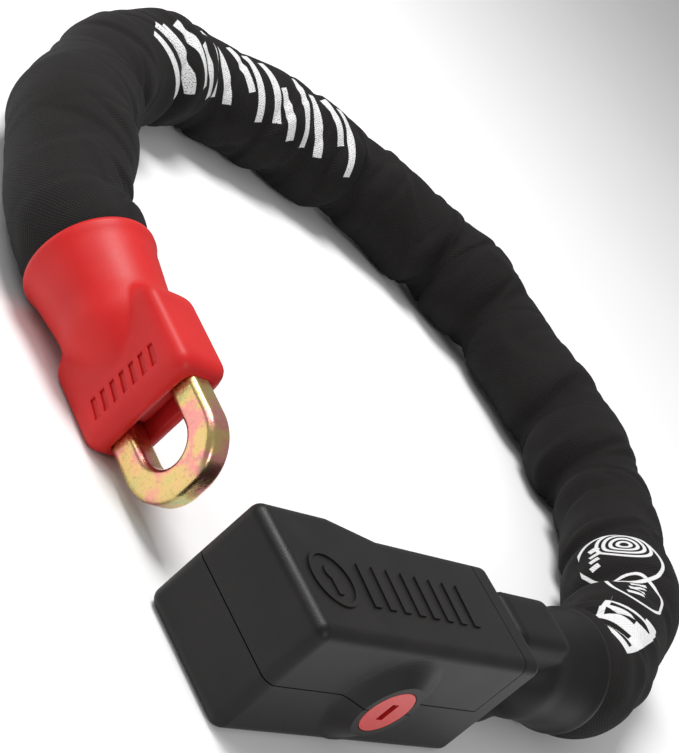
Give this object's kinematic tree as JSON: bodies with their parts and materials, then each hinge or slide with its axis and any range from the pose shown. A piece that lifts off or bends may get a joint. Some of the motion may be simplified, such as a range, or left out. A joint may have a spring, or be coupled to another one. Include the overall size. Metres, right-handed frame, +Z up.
{
  "type": "chain lock",
  "caption": "Box-shaped key lock with a sliding bolt, an anchored chain in a black textile sleeve and a loose end link that drops into the lock's side.",
  "frame": {"origin": "centre of the lock case's flat underside", "axes": "+X towards the anchored chain, -Y out of the keyhole, +Z up"},
  "size_m": [0.445, 0.4238, 0.0572],
  "materials": {
    "case_rubber": "matte moulded",
    "soft_black": "matte moulded",
    "red_rubber": "satin moulded",
    "red_plastic": "satin",
    "hardened_steel": "machined",
    "plated_steel": "zinc plated",
    "brass": "machined",
    "spring_steel": "bright drawn",
    "yellow_zinc": "yellow passivated zinc",
    "sleeve_fabric": "woven polyester"
  },
  "bodies": {
    "lock": {"cover_top": "case_rubber", "cover_base": "case_rubber", "slot_seal": "soft_black", "case_screws": "plated_steel", "lock_block": "hardened_steel", "anchor_pin": "hardened_steel", "cylinder_housing": "brass", "cylinder_grub_screw": "plated_steel", "detent_ball": "hardened_steel", "detent_spring": "spring_steel", "detent_plug": "hardened_steel", "anchor_link": "yellow_zinc", "lock_boot": "soft_black", "lock_clamp_band": "plated_steel", "chain_link_01": "yellow_zinc", "sleeve_section_01": "sleeve_fabric"},
    "rotor": {"rotor": "brass", "detainer_discs": "brass", "disc_spacers": "brass", "sidebar": "brass", "key_face": "red_plastic", "pinion_clip": "spring_steel", "drive_pinion": "hardened_steel"},
    "bolt": {"bolt": "hardened_steel", "rack_plate": "hardened_steel", "rack_screws": "plated_steel"},
    "link_02": {"chain_link_02": "yellow_zinc", "sleeve_section_02": "sleeve_fabric"},
    "link_03": {"chain_link_03": "yellow_zinc", "sleeve_section_03": "sleeve_fabric"},
    "link_04": {"chain_link_04": "yellow_zinc", "sleeve_section_04": "sleeve_fabric"},
    "link_05": {"chain_link_05": "yellow_zinc", "sleeve_section_05": "sleeve_fabric"},
    "link_06": {"chain_link_06": "yellow_zinc", "sleeve_section_06": "sleeve_fabric"},
    "link_07": {"chain_link_07": "yellow_zinc", "sleeve_section_07": "sleeve_fabric"},
    "link_08": {"chain_link_08": "yellow_zinc", "sleeve_section_08": "sleeve_fabric"},
    "link_09": {"chain_link_09": "yellow_zinc", "sleeve_section_09": "sleeve_fabric"},
    "link_10": {"chain_link_10": "yellow_zinc", "sleeve_section_10": "sleeve_fabric"},
    "link_11": {"chain_link_11": "yellow_zinc", "sleeve_section_11": "sleeve_fabric"},
    "link_12": {"chain_link_12": "yellow_zinc", "sleeve_section_12": "sleeve_fabric"},
    "link_13": {"chain_link_13": "yellow_zinc", "sleeve_section_13": "sleeve_fabric"},
    "link_14": {"chain_link_14": "yellow_zinc", "sleeve_section_14": "sleeve_fabric"},
    "red_end": {"chain_link_15": "yellow_zinc", "sleeve_section_15": "sleeve_fabric", "end_clamp_band": "plated_steel", "end_link": "yellow_zinc", "end_boot": "red_rubber"}
  },
  "joints": [
    {"name": "key_turn", "type": "hinge", "parent": "lock", "child": "rotor", "pos_m": [-0.005, -0.03, 0.0275], "axis": [0, 1, 0], "range_deg": [0, 180]},
    {"name": "bolt_slide", "type": "slide", "parent": "lock", "child": "bolt", "axis": [1, 0, 0], "range_m": [0, 0.01728]},
    {"name": "chain_01_swing", "type": "hinge", "parent": "lock", "child": "link_02", "pos_m": [0.1792, 0, 0.0275], "axis": [0, 0, 1], "range_deg": [-58, 5]},
    {"name": "chain_02_lift", "type": "hinge", "parent": "link_02", "child": "link_03", "pos_m": [0.23833, 0.02484, 0.0275], "axis": [0.682, -0.7314, 0], "range_deg": [-20, 20]},
    {"name": "chain_03_swing", "type": "hinge", "parent": "link_03", "child": "link_04", "pos_m": [0.28477, 0.06815, 0.0275], "axis": [0, 0, -1], "range_deg": [-3, 43]},
    {"name": "chain_04_lift", "type": "hinge", "parent": "link_04", "child": "link_05", "pos_m": [0.32677, 0.11744, 0.0275], "axis": [-0.9781, 0.2079, 0], "range_deg": [-20, 20]},
    {"name": "chain_05_swing", "type": "hinge", "parent": "link_05", "child": "link_06", "pos_m": [0.33997, 0.17955, 0.0275], "axis": [0, 0, 1], "range_deg": [-45, 3]},
    {"name": "chain_06_lift", "type": "hinge", "parent": "link_06", "child": "link_07", "pos_m": [0.34385, 0.24419, 0.0275], "axis": [0.9063, 0.4226, 0], "range_deg": [-20, 20]},
    {"name": "chain_07_swing", "type": "hinge", "parent": "link_07", "child": "link_08", "pos_m": [0.31701, 0.30174, 0.0275], "axis": [0, 0, -1], "range_deg": [-1, 60]},
    {"name": "chain_08_lift", "type": "hinge", "parent": "link_08", "child": "link_09", "pos_m": [0.26616, 0.34136, 0.0275], "axis": [-0.225, -0.9744, 0], "range_deg": [-20, 20]},
    {"name": "chain_09_swing", "type": "hinge", "parent": "link_09", "child": "link_10", "pos_m": [0.20428, 0.35565, 0.0275], "axis": [0, 0, 1], "range_deg": [-39, 5]},
    {"name": "chain_10_lift", "type": "hinge", "parent": "link_10", "child": "link_11", "pos_m": [0.14083, 0.36655, 0.0275], "axis": [-0.2419, 0.9703, 0], "range_deg": [-20, 20]},
    {"name": "chain_11_swing", "type": "hinge", "parent": "link_11", "child": "link_12", "pos_m": [0.07922, 0.35118, 0.0275], "axis": [0, 0, -1], "range_deg": [-7, 57]},
    {"name": "chain_12_lift", "type": "hinge", "parent": "link_12", "child": "link_13", "pos_m": [0.02788, 0.31317, 0.0275], "axis": [0.788, -0.6157, 0], "range_deg": [-20, 20]},
    {"name": "chain_13_swing", "type": "hinge", "parent": "link_13", "child": "link_14", "pos_m": [-0.01121, 0.26314, 0.0275], "axis": [0, 0, 1], "range_deg": [-40, 24]},
    {"name": "chain_14_lift", "type": "hinge", "parent": "link_14", "child": "red_end", "pos_m": [-0.04847, 0.20977, 0.0275], "axis": [-0.9986, 0.0523, 0], "range_deg": [-20, 20]}
  ],
  "couplings": [
    {"joint": "key_turn", "follows": "bolt_slide", "rad_per_m": 181.82}
  ]
}
